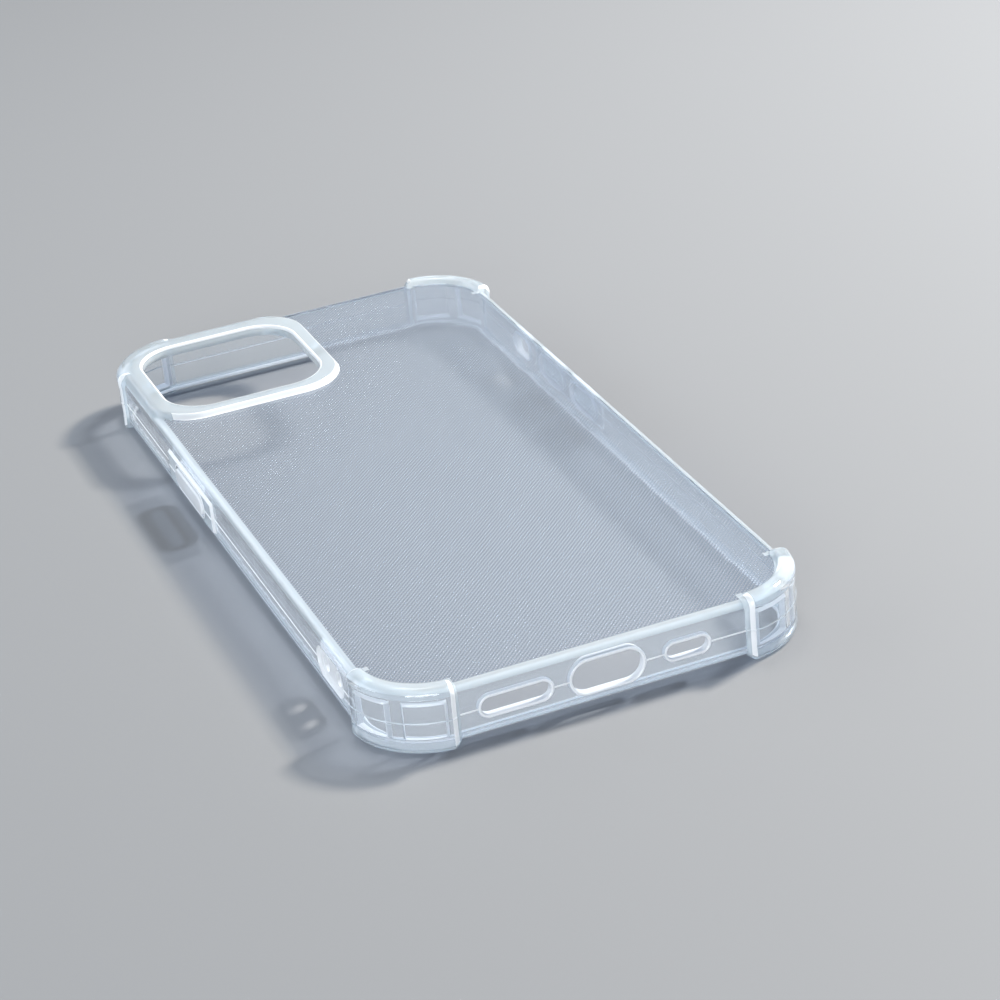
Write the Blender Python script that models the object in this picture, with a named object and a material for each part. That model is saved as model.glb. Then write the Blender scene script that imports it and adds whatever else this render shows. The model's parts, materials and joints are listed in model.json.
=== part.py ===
"""Clear shock-absorbing case for a flat-sided phone, lying open side down.

Metres, +Z up. X is the case's width, Y its length with the camera end at +Y, and the four
corner feet rest on Z = 0. The walls and corner guards are sweeps of one section, which is
written as (u, z): u is measured outwards from the cavity's side wall, z is the height.
"""

import math

import bmesh
import bpy
from mathutils import Vector

# The phone that the case is moulded round, and the room left for it.
PHONE_WIDTH = 0.0715
PHONE_LENGTH = 0.1467
PHONE_DEPTH = 0.0076
PHONE_CLEARANCE = 0.0001
CAVITY_CORNER = 0.0114

# Thicknesses of the moulding.
WALL = 0.0014
PANEL = 0.00115
LIP_HEIGHT = 0.0007
LIP_REACH = 0.0010
EDGE_ROUND = 0.0019
LIP_ROUND = 0.0008
ROOF_STRIP = 0.0012
JOINT_GAP = 0.0003

# Corner guards: how far they stand out, up and down, and their air pockets.
GUARD_STEP = 0.0010
GUARD_ROUND = 0.0015
GUARD_STUB = 0.0006
GUARD_RAMP = 6.0
POCKET_DEPTH = 0.0012
POCKET_RIB = 5.5
POCKET_MARGIN = 7.0
POCKET_SLOPE = 1.5

# Raised guard round the cameras.
WINDOW_SIZE = (0.0300, 0.0290)
WINDOW_CENTRE = (-0.0180, 0.0555)
WINDOW_CORNER = 0.0076
RING_BAND = 0.0033
RING_FLANK = 0.0010
RING_RISE = 0.0010
RING_EDGE = 0.0003

# Openings in the end wall by the charging port, as (centre along X, length, height).
PORT = (0.0005, 0.0120, 0.0054)
SPEAKER_SLOT = (-0.0149, 0.0116, 0.0030)
MICROPHONE_SLOT = (0.0142, 0.0071, 0.0025)

# Side controls, as (centre along Y, length, height).
POWER_PAD = (0.0205, 0.0160, 0.0036)
VOLUME_UP_PAD = (0.0283, 0.0104, 0.0036)
VOLUME_DOWN_PAD = (0.0140, 0.0104, 0.0036)
MUTE_OPENING = (0.0424, 0.0072, 0.0038)
STRAP_HOLES = (-0.0495, -0.0550)
STRAP_HOLE_SIZE = (0.0022, 0.0028)
STRAP_RECESS = (-0.05225, 0.0125, 0.0056)
STRAP_RECESS_DEPTH = 0.0005
BLOCK_MARGIN = 0.0045
BLOCK_OUT = 0.0005
PAD_INNER = 0.00045
PAD_OUTER = 0.00225
PAD_KEY_POCKET = 0.0003
PAD_KEY_MARGIN = 0.0006
PAD_BEVEL = 0.0003

# Levels that follow from the sizes above.
HALF_WIDTH = PHONE_WIDTH / 2 + PHONE_CLEARANCE
HALF_LENGTH = PHONE_LENGTH / 2 + PHONE_CLEARANCE
LIP_BOTTOM = GUARD_STEP
LIP_TOP = LIP_BOTTOM + LIP_HEIGHT
PANEL_UNDER = LIP_TOP + PHONE_DEPTH
PANEL_TOP = PANEL_UNDER + PANEL
MIDDLE = (LIP_TOP + PANEL_UNDER) / 2
POCKET_LOW = LIP_TOP + 0.0004
POCKET_HIGH = PANEL_UNDER - 0.0008
BLOCK_LOW = MIDDLE - 0.0030
BLOCK_HIGH = MIDDLE + 0.0030
BLOCK_SLOPE = 0.0004
CORNER_X = HALF_WIDTH - CAVITY_CORNER
CORNER_Y = HALF_LENGTH - CAVITY_CORNER

ARC_STEPS = 5
CORNER_STEPS = 12
HOLE_STEPS = 10


def clear_scene():
    for old in list(bpy.data.objects):
        bpy.data.objects.remove(old, do_unlink=True)


def material(name, colour, roughness):
    """A clear moulded plastic."""
    made = bpy.data.materials.new(name)
    made.use_nodes = True
    shader = made.node_tree.nodes["Principled BSDF"]
    shader.inputs["Base Color"].default_value = (*colour, 1.0)
    shader.inputs["Roughness"].default_value = roughness
    shader.inputs["Metallic"].default_value = 0.0
    shader.inputs["IOR"].default_value = 1.50
    shader.inputs["Transmission Weight"].default_value = 0.9
    return made


def new_object(name, mesh_data, look):
    """A named object with outward faces, flat where it turns sharply."""
    bmesh.ops.recalc_face_normals(mesh_data, faces=mesh_data.faces)
    mesh = bpy.data.meshes.new(name)
    mesh_data.to_mesh(mesh)
    mesh_data.free()
    mesh.shade_smooth()
    mesh.set_sharp_from_angle(angle=math.radians(35))
    obj = bpy.data.objects.new(name, mesh)
    if look:
        mesh.materials.append(look)
    bpy.context.scene.collection.objects.link(obj)
    return obj


def smooth_step(value):
    value = min(max(value, 0.0), 1.0)
    return value * value * (3 - 2 * value)


def arc(centre_u, centre_z, radius, start, end, steps=ARC_STEPS):
    """Points of an arc, angles in degrees."""
    turns = [math.radians(start + (end - start) * step / steps) for step in range(steps + 1)]
    return [(centre_u + radius * math.cos(turn), centre_z + radius * math.sin(turn)) for turn in turns]


def rounded_distance(x, y, centre, size, radius):
    """Signed distance from (x, y) to a rounded rectangle, negative inside."""
    across = abs(x - centre[0]) - size[0] / 2 + radius
    along = abs(y - centre[1]) - size[1] / 2 + radius
    outside = math.hypot(max(across, 0), max(along, 0))
    return outside + min(max(across, along), 0) - radius


def rounded_outline(centre, size, radius, steps=HOLE_STEPS):
    """Points round a rounded rectangle, counter-clockwise."""
    points = []
    for corner, (side_x, side_y) in enumerate(((1, 1), (-1, 1), (-1, -1), (1, -1))):
        middle_x = centre[0] + side_x * (size[0] / 2 - radius)
        middle_y = centre[1] + side_y * (size[1] / 2 - radius)
        points += arc(middle_x, middle_y, radius, 90 * corner, 90 * corner + 90, steps)
    return points


# The ring's outer outline runs into the wall on the two sides where the cameras sit in the corner.
RING_RIGHT = WINDOW_CENTRE[0] + WINDOW_SIZE[0] / 2 + RING_BAND
RING_NEAR = WINDOW_CENTRE[1] - WINDOW_SIZE[1] / 2 - RING_BAND
RING_LEFT = -(HALF_WIDTH + WALL)
RING_FAR = HALF_LENGTH + WALL
RING_CENTRE = ((RING_LEFT + RING_RIGHT) / 2, (RING_NEAR + RING_FAR) / 2)
RING_SIZE = (RING_RIGHT - RING_LEFT, RING_FAR - RING_NEAR)
RING_CORNER = WINDOW_CORNER + 0.0018


def ring_rise(x, y):
    """How far the camera guard lifts the top surface at (x, y)."""
    inside = -rounded_distance(x, y, RING_CENTRE, RING_SIZE, RING_CORNER)
    return RING_RISE * smooth_step(inside / RING_FLANK)


def wall_section():
    """The plain wall: roof strip, rounded edge, outer face, lip and inner face."""
    outer_top = PANEL_TOP - EDGE_ROUND
    points = [(-ROOF_STRIP, PANEL_UNDER), (-ROOF_STRIP, PANEL_TOP), (-0.0009, PANEL_TOP), (-0.0007, PANEL_TOP)]
    points += arc(WALL - EDGE_ROUND, outer_top, EDGE_ROUND, 90, 0)
    points += [(WALL, BLOCK_HIGH), (WALL, BLOCK_HIGH - BLOCK_SLOPE)]
    points += [(WALL, BLOCK_LOW + BLOCK_SLOPE), (WALL, BLOCK_LOW)]
    points += arc(WALL - LIP_ROUND, LIP_BOTTOM + LIP_ROUND, LIP_ROUND, 0, -90, 3)
    points += inner_section()
    return points


def guard_section():
    """The corner guard, with the same number of points as the wall."""
    step, reach = GUARD_STEP, WALL + GUARD_STEP
    top = PANEL_TOP + step
    points = [(-ROOF_STRIP, PANEL_UNDER), (-ROOF_STRIP, PANEL_TOP), (-0.0009, PANEL_TOP), (-0.0001, top - 0.0001)]
    points += arc(reach - GUARD_ROUND, top - GUARD_ROUND, GUARD_ROUND, 90, 0)
    points += [(reach, BLOCK_HIGH), (reach, BLOCK_HIGH - BLOCK_SLOPE)]
    points += [(reach, BLOCK_LOW + BLOCK_SLOPE), (reach, BLOCK_LOW)]
    points += arc(reach - LIP_ROUND, LIP_ROUND, LIP_ROUND, 0, -90, 3)
    points += [(0.0004, 0.0)] + inner_section()[1:]
    return points


def inner_section():
    """Lip underside, lip tip and the cavity's side wall, from the bottom up."""
    return [
        (0.0002, LIP_BOTTOM),
        (-LIP_REACH + 0.0002, LIP_BOTTOM),
        (-LIP_REACH, LIP_BOTTOM + 0.0003),
        (-LIP_REACH + 0.0002, LIP_TOP),
        (0.0, LIP_TOP),
        (0.0, POCKET_LOW - 0.0003),
        (0.0, POCKET_LOW),
        (0.0, POCKET_HIGH),
        (0.0, POCKET_HIGH + 0.0003),
        (0.0, PANEL_UNDER - 0.0004),
        (-0.0004, PANEL_UNDER),
    ]


WALL_POINTS = wall_section()
GUARD_POINTS = guard_section()
ROOF_COUNT = 4 + ARC_STEPS + 1
BLOCK_POINTS = (ROOF_COUNT + 1, ROOF_COUNT + 2)
POCKET_POINTS = (len(WALL_POINTS) - 5, len(WALL_POINTS) - 4)


def station(foot, outward, guard=0.0, pocket=0.0, block=0.0):
    """The section set up at one place: foot is on the cavity wall, outward points away from it."""
    placed = []
    for index, (plain, raised) in enumerate(zip(WALL_POINTS, GUARD_POINTS)):
        u = plain[0] + (raised[0] - plain[0]) * guard
        z = plain[1] + (raised[1] - plain[1]) * guard
        lifted = (z - plain[1]) / GUARD_STEP
        u += POCKET_DEPTH * pocket if index in POCKET_POINTS else 0.0
        u += BLOCK_OUT * block if index in BLOCK_POINTS else 0.0
        x, y = foot[0] + outward[0] * u, foot[1] + outward[1] * u
        if 0 < index < ROOF_COUNT:
            z += ring_rise(x, y) * (1 - lifted)
        placed.append((x, y, z))
    return placed


def sweep(stations, closed=False):
    """A closed body through stations of equal point counts, capped at its two ends."""
    body = bmesh.new()
    rings = [[body.verts.new(point) for point in points] for points in stations]
    count = len(rings[0])
    pairs = list(zip(rings, rings[1:])) + ([(rings[-1], rings[0])] if closed else [])
    for first, second in pairs:
        for index in range(count):
            after = (index + 1) % count
            body.faces.new((first[index], first[after], second[after], second[index]))
    if not closed:
        body.faces.new(rings[0])
        body.faces.new(rings[-1])
    return body


def extrude_outline(outline, axis_start, axis_end, place):
    """A prism of an outline between two depths; place turns (a, b, depth) into (x, y, z)."""
    return sweep([[place(a, b, depth) for a, b in outline] for depth in (axis_start, axis_end)])


def cut(target, name, body):
    """Takes a hidden cutter out of a part."""
    cutter = new_object(name, body, None)
    cutter.hide_render = True
    cutter.display_type = "WIRE"
    modifier = target.modifiers.new(name, "BOOLEAN")
    modifier.operation = "DIFFERENCE"
    modifier.solver = "EXACT"
    modifier.object = cutter


def on_side(side):
    """Turns (along, height, u) on one straight side into a world point."""
    places = {
        "bottom": lambda a, b, u: (a, -HALF_LENGTH - u, b),
        "top": lambda a, b, u: (a, HALF_LENGTH + u, b),
        "left": lambda a, b, u: (-HALF_WIDTH - u, a, b),
        "right": lambda a, b, u: (HALF_WIDTH + u, a, b),
    }
    return places[side]


def hole(target, name, side, opening, depths, radius=None, height=MIDDLE):
    """A round-ended opening through, or partly into, one side wall."""
    centre, length, tall = opening
    radius = radius or min(length, tall) / 2 - 1e-6
    outline = rounded_outline((centre, height), (length, tall), radius, HOLE_STEPS // 2 + 1)
    cut(target, name, extrude_outline(outline, *depths, on_side(side)))


def wall_stations(side, places, block_range=None):
    """Stations along a straight wall; the control block is raised inside block_range."""
    outward = {"bottom": (0, -1), "top": (0, 1), "left": (-1, 0), "right": (1, 0)}[side]
    rows = []
    for along in places:
        x, y, _ = on_side(side)(along, 0, 0)
        block = 1.0 if block_range and block_range[0] < along < block_range[1] else 0.0
        rows.append(station((x, y), outward, block=block))
    return rows


def even_places(start, end, count):
    return [start + (end - start) * index / count for index in range(count + 1)]


def corner_stations(side_x, side_y):
    """Stations round one corner guard, from the side wall to the end wall."""
    angles = [0, GUARD_RAMP, POCKET_MARGIN, POCKET_MARGIN + POCKET_SLOPE]
    angles += even_places(POCKET_MARGIN + POCKET_SLOPE, 45 - POCKET_RIB, 4)[1:]
    angles += [45 - POCKET_RIB + POCKET_SLOPE]
    angles += [90 - angle for angle in reversed(angles)]
    rows = []
    for index, angle in enumerate([0] + angles + [90]):
        turn = math.radians(angle)
        outward = (side_x * math.cos(turn), side_y * math.sin(turn))
        stub = GUARD_STUB if index in (0, len(angles) + 1) else 0.0
        foot_x = side_x * (CORNER_X - (stub if angle == 90 else 0)) + CAVITY_CORNER * outward[0]
        foot_y = side_y * (CORNER_Y - (stub if angle == 0 else 0)) + CAVITY_CORNER * outward[1]
        from_end = min(angle, 90 - angle)
        guard = min((from_end + 3.0) / (GUARD_RAMP + 3.0), 1.0) if stub == 0 else 0.0
        inside_window = POCKET_MARGIN < from_end < 45 - POCKET_RIB + POCKET_SLOPE / 2
        rows.append(station((foot_x, foot_y), outward, guard, 1.0 if inside_window else 0.0))
    return rows


def make_walls(look):
    """The four straight walls between the corner guards."""
    end_x, end_y = CORNER_X - GUARD_STUB - JOINT_GAP, CORNER_Y - GUARD_STUB - JOINT_GAP
    through = (-0.004, 0.006)
    bottom = new_object("bottom_wall", sweep(wall_stations("bottom", (-end_x, end_x))), look)
    hole(bottom, "cut_port", "bottom", PORT, through)
    hole(bottom, "cut_speaker_slot", "bottom", SPEAKER_SLOT, through)
    hole(bottom, "cut_microphone_slot", "bottom", MICROPHONE_SLOT, through)

    ring_places = even_places(-end_x, RING_RIGHT + 0.0002, 24)
    new_object("top_wall", sweep(wall_stations("top", ring_places + [end_x])), look)

    volume_block = (VOLUME_DOWN_PAD[0] - VOLUME_DOWN_PAD[1] / 2 - BLOCK_MARGIN / 2,
                    VOLUME_UP_PAD[0] + VOLUME_UP_PAD[1] / 2 + BLOCK_MARGIN / 2)
    places = [-end_y, *block_edges(volume_block), end_y]
    right = new_object("right_wall", sweep(wall_stations("right", places, volume_block)), look)
    hole(right, "cut_mute_opening", "right", MUTE_OPENING, through)
    hole(right, "cut_volume_up", "right", grown(VOLUME_UP_PAD), through)
    hole(right, "cut_volume_down", "right", grown(VOLUME_DOWN_PAD), through)

    power_block = (POWER_PAD[0] - POWER_PAD[1] / 2 - BLOCK_MARGIN, POWER_PAD[0] + POWER_PAD[1] / 2 + BLOCK_MARGIN)
    places = [-end_y, *block_edges(power_block), *even_places(RING_NEAR, end_y, 16)]
    left = new_object("left_wall", sweep(wall_stations("left", places, power_block)), look)
    hole(left, "cut_power", "left", grown(POWER_PAD), through)
    hole(left, "cut_strap_recess", "left", STRAP_RECESS, (WALL - STRAP_RECESS_DEPTH, 0.006))
    for number, along in enumerate(STRAP_HOLES, 1):
        hole(left, f"cut_strap_hole_{number}", "left", (along, *STRAP_HOLE_SIZE), through)


def block_edges(block):
    """Places where a control block starts and stops, with its short end slopes."""
    nudge = 0.00001
    return (block[0] - BLOCK_SLOPE, block[0] + nudge, block[1] - nudge, block[1] + BLOCK_SLOPE)


def grown(pad):
    """A pad's opening: its own size and the gap round it."""
    return (pad[0], pad[1] + 2 * JOINT_GAP, pad[2] + 2 * JOINT_GAP)


def make_guards(look):
    """The four corner guards, each with two air pockets on either side of a rib."""
    for end, side_y in (("bottom", -1), ("top", 1)):
        for hand, side_x in (("left", -1), ("right", 1)):
            new_object(f"corner_guard_{end}_{hand}", sweep(corner_stations(side_x, side_y)), look)


def strip_distance(x, y):
    """Signed distance to the roof strip's inner edge, with the gap left inside it."""
    inset = ROOF_STRIP + JOINT_GAP
    size = (2 * (HALF_WIDTH - inset), 2 * (HALF_LENGTH - inset))
    return rounded_distance(x, y, (0, 0), size, CAVITY_CORNER - inset)


def band_width(x, y, outward):
    """Width of the camera guard's band from a window-edge point, up to its outline or the strip."""
    width = 0.0
    for _ in range(60):
        point = (x + outward[0] * width, y + outward[1] * width)
        ring = rounded_distance(*point, RING_CENTRE, RING_SIZE, RING_CORNER)
        width += max(-ring, 0) if ring > strip_distance(*point) else max(-strip_distance(*point), 0)
    return width


def make_camera_guard(look):
    """The raised ring round the camera window, through the panel's whole thickness."""
    rows = []
    steps = 8
    for index, (x, y) in enumerate(rounded_outline(WINDOW_CENTRE, WINDOW_SIZE, WINDOW_CORNER, steps)):
        corner, step = divmod(index, steps + 1)
        turn = math.radians(90 * (corner + step / steps))
        outward = (math.cos(turn), math.sin(turn))
        width = band_width(x, y, outward)
        top = PANEL_TOP + RING_RISE
        row = [(x, y, PANEL_UNDER), (x, y, top - RING_EDGE)]
        offsets = [RING_EDGE] + [max(width - RING_FLANK * share, RING_EDGE * 2) for share in (1, 0.7, 0.35)] + [width]
        for offset in offsets:
            across = (x + outward[0] * offset, y + outward[1] * offset)
            row.append((*across, PANEL_TOP + ring_rise(*across)))
        row.append((x + outward[0] * width, y + outward[1] * width, PANEL_UNDER))
        rows.append(row)
    new_object("camera_guard", sweep(rows, closed=True), look)


def make_back_panel(look):
    """The flat back, inside the roof strip and clear of the camera guard."""
    inset = ROOF_STRIP + JOINT_GAP
    size = (2 * (HALF_WIDTH - inset), 2 * (HALF_LENGTH - inset))
    outline = rounded_outline((0, 0), size, CAVITY_CORNER - inset)
    flat = lambda a, b, depth: (a, b, depth)
    panel = new_object("back_panel", extrude_outline(outline, PANEL_UNDER, PANEL_TOP, flat), look)
    wide = (RING_SIZE[0] + 2 * JOINT_GAP, RING_SIZE[1] + 2 * JOINT_GAP)
    around = rounded_outline(RING_CENTRE, wide, RING_CORNER + JOINT_GAP)
    cut(panel, "cut_camera_guard", extrude_outline(around, PANEL_UNDER - 0.002, PANEL_TOP + 0.002, flat))


def make_pad(name, side, pad, look):
    """A push pad in its wall opening: rounded outer edge, and a pocket for the phone's own key."""
    centre, length, tall = pad
    origin = Vector(on_side(side)(centre, MIDDLE, WALL))
    place = on_side(side)
    local = lambda a, b, depth: tuple(Vector(place(a, b, depth)) - origin)

    def outline(inset):
        size = (length - 2 * inset, tall - 2 * inset)
        return rounded_outline((centre, MIDDLE), size, tall / 2 - inset - 1e-6, HOLE_STEPS // 2)

    key = PAD_INNER + PAD_KEY_POCKET
    layers = [(PAD_KEY_MARGIN, key), (PAD_KEY_MARGIN, PAD_INNER), (0, PAD_INNER), (0, PAD_OUTER - PAD_BEVEL)]
    layers += [(PAD_BEVEL * 0.3, PAD_OUTER - PAD_BEVEL * 0.3), (PAD_BEVEL, PAD_OUTER)]
    body = sweep([[local(a, b, depth) for a, b in outline(inset)] for inset, depth in layers])
    button = new_object(name, body, look)
    button.location = origin


def main():
    clear_scene()
    clear = material("clear_tpu", (0.86, 0.92, 0.97), 0.10)
    dotted = material("clear_tpu_dotted", (0.82, 0.88, 0.94), 0.30)
    make_walls(clear)
    make_guards(clear)
    make_camera_guard(clear)
    make_back_panel(dotted)
    make_pad("power_button", "left", POWER_PAD, clear)
    make_pad("volume_up_button", "right", VOLUME_UP_PAD, clear)
    make_pad("volume_down_button", "right", VOLUME_DOWN_PAD, clear)


main()
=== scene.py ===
import json
import math

import bmesh
import bpy
from mathutils import Matrix, Vector
from mathutils.geometry import delaunay_2d_cdt


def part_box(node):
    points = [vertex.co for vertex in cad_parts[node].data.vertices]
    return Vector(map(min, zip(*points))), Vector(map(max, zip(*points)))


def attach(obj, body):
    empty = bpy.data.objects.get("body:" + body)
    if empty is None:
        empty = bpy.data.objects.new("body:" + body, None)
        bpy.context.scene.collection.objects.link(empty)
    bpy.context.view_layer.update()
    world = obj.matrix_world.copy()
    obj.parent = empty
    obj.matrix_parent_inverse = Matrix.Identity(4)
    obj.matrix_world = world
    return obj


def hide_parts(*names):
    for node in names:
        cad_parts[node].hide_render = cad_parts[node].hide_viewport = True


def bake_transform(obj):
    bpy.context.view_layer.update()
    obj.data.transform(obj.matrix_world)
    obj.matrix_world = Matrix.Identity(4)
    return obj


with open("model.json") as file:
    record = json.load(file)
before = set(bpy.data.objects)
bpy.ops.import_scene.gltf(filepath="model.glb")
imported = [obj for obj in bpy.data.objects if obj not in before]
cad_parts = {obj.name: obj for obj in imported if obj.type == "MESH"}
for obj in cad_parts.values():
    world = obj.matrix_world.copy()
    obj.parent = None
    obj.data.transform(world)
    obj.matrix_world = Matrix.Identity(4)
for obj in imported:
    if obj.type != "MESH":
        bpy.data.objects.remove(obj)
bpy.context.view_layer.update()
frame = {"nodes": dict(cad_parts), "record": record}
print("frame loaded,", len(frame["nodes"]), "nodes")

mm = 0.001  # every length below is in millimetres until it reaches a mesh


def frameBox(node):
    low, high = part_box(node)
    return low / mm, high / mm


# what the shape takes from the frame
panelLow, panelHigh = frameBox("back_panel")
ringLow, ringHigh = frameBox("camera_guard")
guardHigh = frameBox("corner_guard_bottom_right")[1]
endWallLow = frameBox("bottom_wall")[0]
padNames = ("power_button", "volume_up_button", "volume_down_button")
pads = {name: frameBox(name) for name in padNames}

shell = {
    "roofStrip": 1.8,  # how far the rim's section reaches in over the back
    "panelInset": 1.5,  # panel edge to cavity wall
    "corner": 11.4,  # cavity corner radius
    "edgeRound": 1.9,
    "lipRound": 0.8,
    "lipReach": 1.0,
    "guardRound": 1.5,
    "guardStub": 0.6,
    "guardRamp": 1.2,
    "pocketDepth": 1.2,
    "pocketMargin": 6.5,  # degrees from the guard's end to its pocket
    "pocketRib": 4.0,  # half the rib's angle
    "pocketRamp": 3.0,
    "bead": 0.12,  # parting line that runs round the mould's split
    "beadHalf": 0.16,
    "blockOut": 0.5,
    "blockHalf": 3.0,
    "blockSlope": 0.45,
    "pocketBelow": (0.2, 0.28, 0.42, 0.6),  # heights above the lip where a pocket deepens
    "pocketAbove": (1.1, 0.92, 0.78, 0.7),  # and drops from the back where it ends
    "insideRound": 0.6,  # between the cavity wall and the back
    "arcSteps": 10,
    "cornerStep": 2.5,  # degrees between stations where nothing changes
    "wallStep": 6.0,  # and millimetres between them along a straight wall
}
cavityX = panelHigh.x + shell["panelInset"]
cavityY = panelHigh.y + shell["panelInset"]
cornerX, cornerY = cavityX - shell["corner"], cavityY - shell["corner"]
wall = -endWallLow.y - cavityY
step = guardHigh.x - cavityX - wall
lipBottom = endWallLow.z
panelUnder, panelTop = panelLow.z, panelHigh.z
middle = (pads["power_button"][0].z + pads["power_button"][1].z) / 2
lipTop = 2 * middle - panelUnder

cameraGuard = {
    "window": (30.0, 29.0),
    "windowCorner": 7.6,
    "band": 3.3,
    "cornerGrow": 1.8,
    "flank": 0.75,
    "rise": ringHigh.z - panelTop,
    "edge": 0.5,  # rounding of the window's top edge
    "underEdge": 0.45,
}
windowCentre = (
    ringHigh.x - cameraGuard["band"] - cameraGuard["window"][0] / 2,
    ringLow.y + cameraGuard["band"] + cameraGuard["window"][1] / 2,
)
ringLeft, ringFar = -(cavityX + wall), cavityY + wall
ringCentre = ((ringLeft + ringHigh.x) / 2, (ringLow.y + ringFar) / 2)
ringSize = (ringHigh.x - ringLeft, ringFar - ringLow.y)
ringCorner = cameraGuard["windowCorner"] + cameraGuard["cornerGrow"]


def easeInOut(value):
    value = min(max(value, 0.0), 1.0)
    return value * value * (3 - 2 * value)


def arcPoints(centreU, centreZ, radius, start, end, steps):
    turns = [math.radians(start + (end - start) * k / steps) for k in range(steps + 1)]
    return [(centreU + radius * math.cos(t), centreZ + radius * math.sin(t)) for t in turns]


# distance from (x, y) to a rounded rectangle, negative inside it
def roundedDistance(x, y, centre, size, radius):
    across = abs(x - centre[0]) - size[0] / 2 + radius
    along = abs(y - centre[1]) - size[1] / 2 + radius
    return math.hypot(max(across, 0), max(along, 0)) + min(max(across, along), 0) - radius


# rounded rectangle, counter-clockwise, with its straight sides split no longer than sideStep
def roundedOutline(centre, size, radius, steps, sideStep=1e9):
    halfX, halfY = size[0] / 2, size[1] / 2
    points = []
    for quarter, (sx, sy) in enumerate(((1, 1), (-1, 1), (-1, -1), (1, -1))):
        cx, cy = centre[0] + sx * (halfX - radius), centre[1] + sy * (halfY - radius)
        points += arcPoints(cx, cy, radius, 90 * quarter, 90 * quarter + 90, steps)
        # where the next corner's arc begins
        if quarter in (0, 2):
            nextX, nextY = centre[0] - sx * (halfX - radius), centre[1] + sy * halfY
        else:
            nextX, nextY = centre[0] + sx * halfX, centre[1] - sy * (halfY - radius)
        lastX, lastY = points[-1]
        alongX, alongY = nextX - lastX, nextY - lastY
        parts = max(int(math.hypot(alongX, alongY) / sideStep), 1)
        for k in range(1, parts):
            points.append((lastX + alongX * k / parts, lastY + alongY * k / parts))
    return points


# how far the camera guard lifts the back at (x, y)
def ringRise(x, y):
    inside = -roundedDistance(x, y, ringCentre, ringSize, ringCorner)
    return cameraGuard["rise"] * easeInOut(inside / cameraGuard["flank"])


# lip underside, round lip tip, cavity wall with its pocket band, and the corner under the back
def innerProfile():
    half = (lipTop - lipBottom) / 2
    points = [(-shell["lipReach"] + half + 0.2, lipBottom)]
    points += arcPoints(-shell["lipReach"] + half, lipBottom + half, half, 270, 90, 8)
    points += [(-0.12, lipTop), (-0.03, lipTop + 0.03), (0.0, lipTop + 0.12)]
    points += [(0.0, lipTop + rise) for rise in shell["pocketBelow"]]
    points += [(0.0, panelUnder - drop) for drop in shell["pocketAbove"]]
    inside = shell["insideRound"]
    points += arcPoints(-inside, panelUnder - inside, inside, 0, 90, 6)
    points += [(-shell["roofStrip"], panelUnder)]
    return points


# straight part of the outer face: block slopes above and below, parting bead in the middle
def outerBand(reach):
    high, low = middle + shell["blockHalf"], middle - shell["blockHalf"]
    points = [(reach, high - shell["blockSlope"] * k / 3) for k in range(4)]
    for share in (-1, -0.5, 0, 0.5, 1):
        bulge = shell["bead"] * (1 - share * share)
        points.append((reach + bulge, middle - share * shell["beadHalf"]))
    points += [(reach, low + shell["blockSlope"] * k / 3) for k in (3, 2, 1, 0)]
    return points


# the plain wall from the back's edge round the outside and up the inside, as (outwards, height)
def wallProfile():
    edge, lip, steps = shell["edgeRound"], shell["lipRound"], shell["arcSteps"]
    points = [(u, panelTop) for u in (-shell["roofStrip"], -1.15, -0.98, -0.86, -0.75, -0.65)]
    points += arcPoints(wall - edge, panelTop - edge, edge, 90, 0, steps)
    points += outerBand(wall)
    points += arcPoints(wall - lip, lipBottom + lip, lip, 0, -90, 6)
    return points + [(0.3, lipBottom), (0.0, lipBottom)] + innerProfile()


# a corner guard, with as many points as the plain wall, so that one turns into the other
def guardProfile():
    edge, lip, steps = shell["guardRound"], shell["lipRound"], shell["arcSteps"]
    top, reach = panelTop + step, wall + step
    points = [(-shell["roofStrip"], panelTop), (-1.0, panelTop + 0.04)]
    points += [(-0.78, panelTop + 0.26 * step), (-0.55, panelTop + 0.66 * step)]
    points += [(-0.3, panelTop + 0.92 * step), (0.1, top)]
    points += arcPoints(reach - edge, top - edge, edge, 90, 0, steps)
    points += outerBand(reach - shell["bead"])
    points += arcPoints(reach - lip, lip, lip, 0, -90, 6)
    return points + [(0.6, 0.0), (0.1, 0.25)] + innerProfile()


wallPoints, guardPoints = wallProfile(), guardProfile()
# the last slot is the painted highlight: a whiter, less see-through copy of the same plastic on
# edges that catch the light
wallFinish, thickFinish, dotFinish, panelFinish, paintedHighlightFinish = range(5)  # material slots of the shell

# where each feature begins and ends along the profile, counted in its points
flatStrips = 7  # strips of the top that the dotted back still covers
guardShoulder = 5  # first strip of a guard's end that catches the light
roofCount = 6 + shell["arcSteps"] + 1
blockStart = roofCount
blockShare = (0.0, 0.35, 0.85, 1.0) + (1.0,) * 5 + (1.0, 0.85, 0.35, 0.0)
blockEnd = blockStart + len(blockShare)
beadStrips = range(blockStart + 4, blockStart + 8)
pocketShare = (0.0, 0.25, 0.8, 1.0, 1.0, 0.8, 0.25, 0.0)
pocketStart = len(wallPoints) - 16
lipTipStrips = range(pocketStart - 12, pocketStart - 4)  # round tip of the holding lip
changing = 0.04  # on its slope, a guard or block changes more than this between stations
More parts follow.
